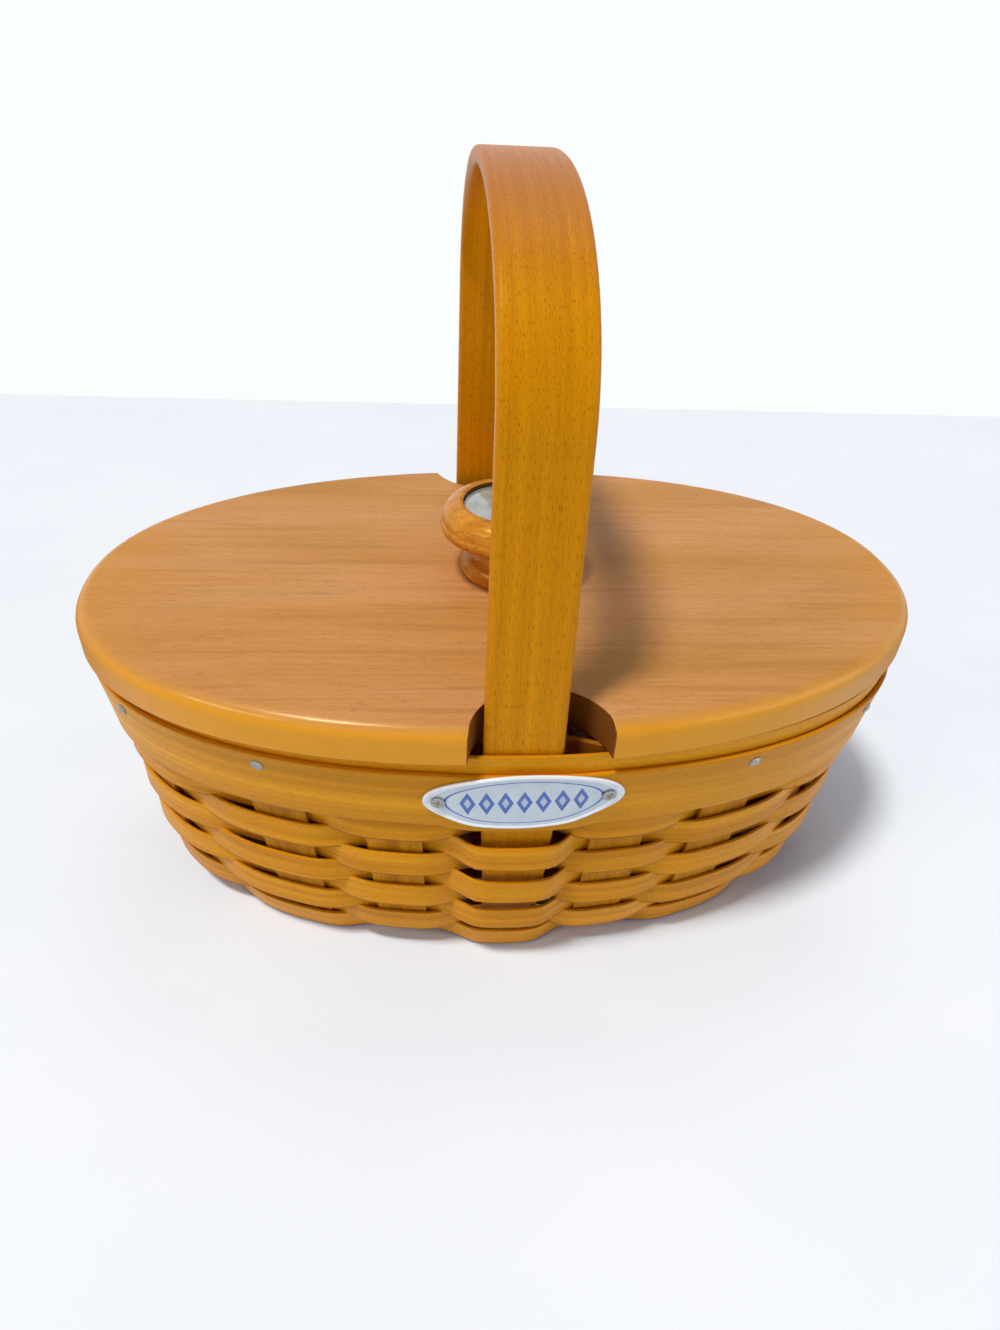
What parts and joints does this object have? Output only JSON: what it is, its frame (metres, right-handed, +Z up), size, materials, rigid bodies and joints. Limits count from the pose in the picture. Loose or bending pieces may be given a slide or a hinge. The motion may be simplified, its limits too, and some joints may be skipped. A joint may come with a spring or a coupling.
{
  "type": "lidded oval splint basket with arch handle",
  "caption": "Oval woven wood-splint basket with rim bands, a fixed arch handle, and a notched lift-off wooden lid with a turned knob.",
  "frame": {"origin": "middle of the woven base, on the surface that the basket stands on", "axes": "+X along the long axis, towards the right as seen from the front; +Y towards the back, -Y towards the side with the oval plate; +Z up"},
  "size_m": [0.3114, 0.1874, 0.2642],
  "materials": {
    "weaver_splint": "satin",
    "upright_splint": "satin",
    "band_wood": "satin",
    "handle_wood": "satin",
    "lid_wood": "satin",
    "knob_wood": "satin",
    "insert_glaze": "gloss",
    "plate_enamel": "gloss",
    "fastener_steel": "satin"
  },
  "bodies": {
    "basket": {"cross_splint_1": "upright_splint", "cross_splint_2": "upright_splint", "cross_splint_3": "upright_splint", "cross_splint_4": "upright_splint", "cross_splint_5": "upright_splint", "long_splint_1": "upright_splint", "long_splint_2": "upright_splint", "long_splint_3": "upright_splint", "weaver_row_1": "weaver_splint", "weaver_row_2": "weaver_splint", "weaver_row_3": "weaver_splint", "weaver_row_4": "weaver_splint", "weaver_row_5": "weaver_splint", "weaver_row_6": "weaver_splint", "weaver_row_7": "weaver_splint", "weaver_row_8": "weaver_splint", "inner_band": "band_wood", "outer_band": "band_wood", "trim_band": "band_wood", "handle": "handle_wood", "rim_tacks": "fastener_steel", "name_plate": "plate_enamel", "plate_screws": "fastener_steel"},
    "lid": {"lid_board": "lid_wood", "knob": "knob_wood", "knob_insert": "insert_glaze", "knob_screw": "fastener_steel"}
  },
  "joints": [
    {"name": "lid_lift", "type": "slide", "parent": "basket", "child": "lid", "axis": [0, 0, 1], "range_m": [0, 0.05]}
  ]
}
